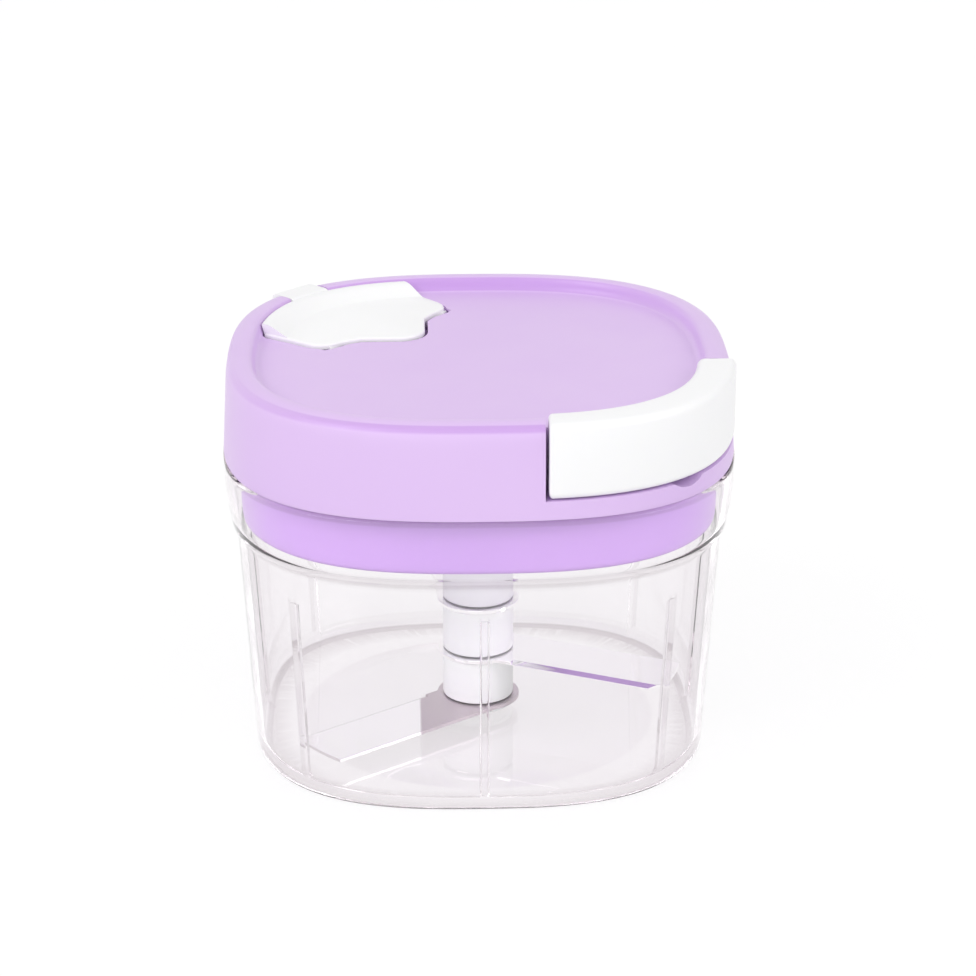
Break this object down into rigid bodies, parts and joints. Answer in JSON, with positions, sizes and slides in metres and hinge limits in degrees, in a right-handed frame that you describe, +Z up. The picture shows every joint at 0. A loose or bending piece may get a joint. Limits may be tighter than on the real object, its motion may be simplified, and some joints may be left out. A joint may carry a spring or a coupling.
{
  "type": "vegetable chopper",
  "caption": "Pull-cord vegetable chopper: clear rounded-square bowl, stacked blades on a white hub, lilac lid with a white corner pull handle, a fill flap and a recoil reel inside.",
  "frame": {"origin": "centre of the bowl's base, on the surface that the chopper stands on", "axes": "+Z up through the blade shaft; the front, which faces the camera in the picture, is -Y; +X to the right; the pull handle is at the front right corner of the lid and the fill flap at the back left"},
  "size_m": [0.1262, 0.1262, 0.101],
  "materials": {
    "clear_plastic": "clear, polished mould",
    "lilac_plastic": "satin",
    "white_plastic": "satin",
    "hub_plastic": "satin",
    "blade_steel": "ground edge, polished face",
    "fixing_steel": "plain",
    "mechanism_nylon": "natural",
    "cord_nylon": "twisted cord"
  },
  "bodies": {
    "bowl": {"bowl": "clear_plastic", "bowl_pin": "blade_steel"},
    "blades": {"blade_shaft": "hub_plastic", "blade_lower": "blade_steel", "blade_middle": "blade_steel", "blade_upper": "blade_steel", "hub_spacer_lower": "hub_plastic", "hub_spacer_middle": "hub_plastic", "hub_sleeve_upper": "hub_plastic"},
    "lid": {"lid_cover": "lilac_plastic", "lid_base": "lilac_plastic", "lid_screw_1": "fixing_steel", "lid_screw_2": "fixing_steel", "lid_screw_3": "fixing_steel", "lid_screw_4": "fixing_steel", "cord_eyelet": "fixing_steel", "flap_pin_left": "fixing_steel", "flap_pin_right": "fixing_steel", "reel_axle": "fixing_steel", "axle_clip": "fixing_steel", "recoil_spring": "fixing_steel", "spindle_bush": "fixing_steel", "pull_cord": "cord_nylon"},
    "reel": {"cord_reel": "mechanism_nylon", "cord_winding": "cord_nylon", "spring_cap": "mechanism_nylon", "pawl_pin_right": "fixing_steel", "pawl_pin_left": "fixing_steel"},
    "pawl_right": {"pawl_right": "mechanism_nylon"},
    "pawl_left": {"pawl_left": "mechanism_nylon"},
    "drive": {"drive_spindle": "mechanism_nylon", "drive_coupling": "mechanism_nylon", "spindle_screw": "fixing_steel"},
    "flap": {"flap": "white_plastic"},
    "handle": {"handle_grip": "white_plastic", "handle_back": "white_plastic", "cord_knot": "cord_nylon"}
  },
  "joints": [
    {"name": "lid_lift", "type": "slide", "parent": "bowl", "child": "lid", "axis": [0, 0, 1], "range_m": [0, 0.06]},
    {"name": "blade_spin", "type": "hinge", "parent": "bowl", "child": "blades", "pos_m": [0, 0, 0], "axis": [0, 0, 1], "range_deg": [-925, 0]},
    {"name": "handle_pull", "type": "slide", "parent": "lid", "child": "handle", "axis": [0.7071, -0.7071, 0], "range_m": [0, 0.28], "stiffness_N_per_m": 20, "springref_m": -0.05, "deforming": ["pull_cord"]},
    {"name": "reel_spin", "type": "hinge", "parent": "lid", "child": "reel", "pos_m": [0, 0, 0.0828], "axis": [0, 0, 1], "range_deg": [-925, 0], "deforming": ["recoil_spring"]},
    {"name": "spindle_spin", "type": "hinge", "parent": "lid", "child": "drive", "pos_m": [0, 0, 0.066], "axis": [0, 0, 1], "range_deg": [-925, 0]},
    {"name": "pawl_right_swing", "type": "hinge", "parent": "reel", "child": "pawl_right", "pos_m": [0.0081, 0.00965, 0.074], "axis": [0, 0, 1], "range_deg": [0, 11]},
    {"name": "pawl_left_swing", "type": "hinge", "parent": "reel", "child": "pawl_left", "pos_m": [-0.0081, -0.00965, 0.074], "axis": [0, 0, 1], "range_deg": [0, 11]},
    {"name": "flap_open", "type": "hinge", "parent": "lid", "child": "flap", "pos_m": [-0.02334, 0.02334, 0.0959], "axis": [0.7071, 0.7071, 0], "range_deg": [0, 75]}
  ],
  "couplings": [
    {"joint": "reel_spin", "follows": "handle_pull", "rad_per_m": -57.471},
    {"joint": "spindle_spin", "follows": "handle_pull", "rad_per_m": -57.471},
    {"joint": "blade_spin", "follows": "handle_pull", "rad_per_m": -57.471},
    {"joint": "pawl_left_swing", "follows": "pawl_right_swing", "ratio": 1}
  ]
}
